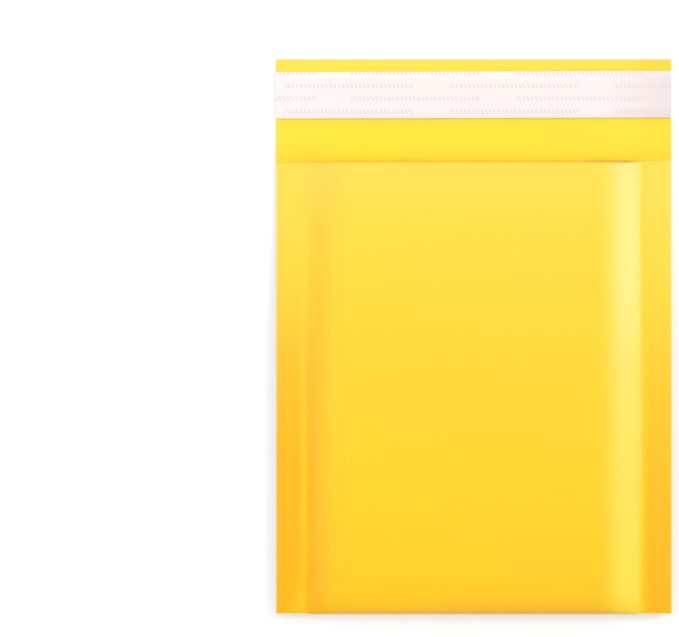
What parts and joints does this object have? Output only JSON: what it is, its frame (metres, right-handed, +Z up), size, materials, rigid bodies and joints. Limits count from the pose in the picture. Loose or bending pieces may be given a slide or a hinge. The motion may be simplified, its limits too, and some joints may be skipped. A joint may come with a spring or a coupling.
{
  "type": "bubble mailer",
  "caption": "Golden kraft paper mailing envelope lined with bubble film, flap open, with a covered self-seal strip along the flap.",
  "frame": {"origin": "on the surface that the mailer lies on, under the middle of its outline", "axes": "+Y along the mailer's length towards the flap, +X across its width, +Z up through the front panel"},
  "size_m": [0.216, 0.303, 0.0124],
  "materials": {
    "golden_kraft_paper": "satin",
    "clear_bubble_film": "gloss",
    "clear_glue": "satin",
    "white_release_paper": "satin"
  },
  "bodies": {
    "root": {"paper_envelope": "golden_kraft_paper", "bubble_lining": "clear_bubble_film", "adhesive_strip": "clear_glue", "release_liner": "white_release_paper"}
  },
  "joints": []
}
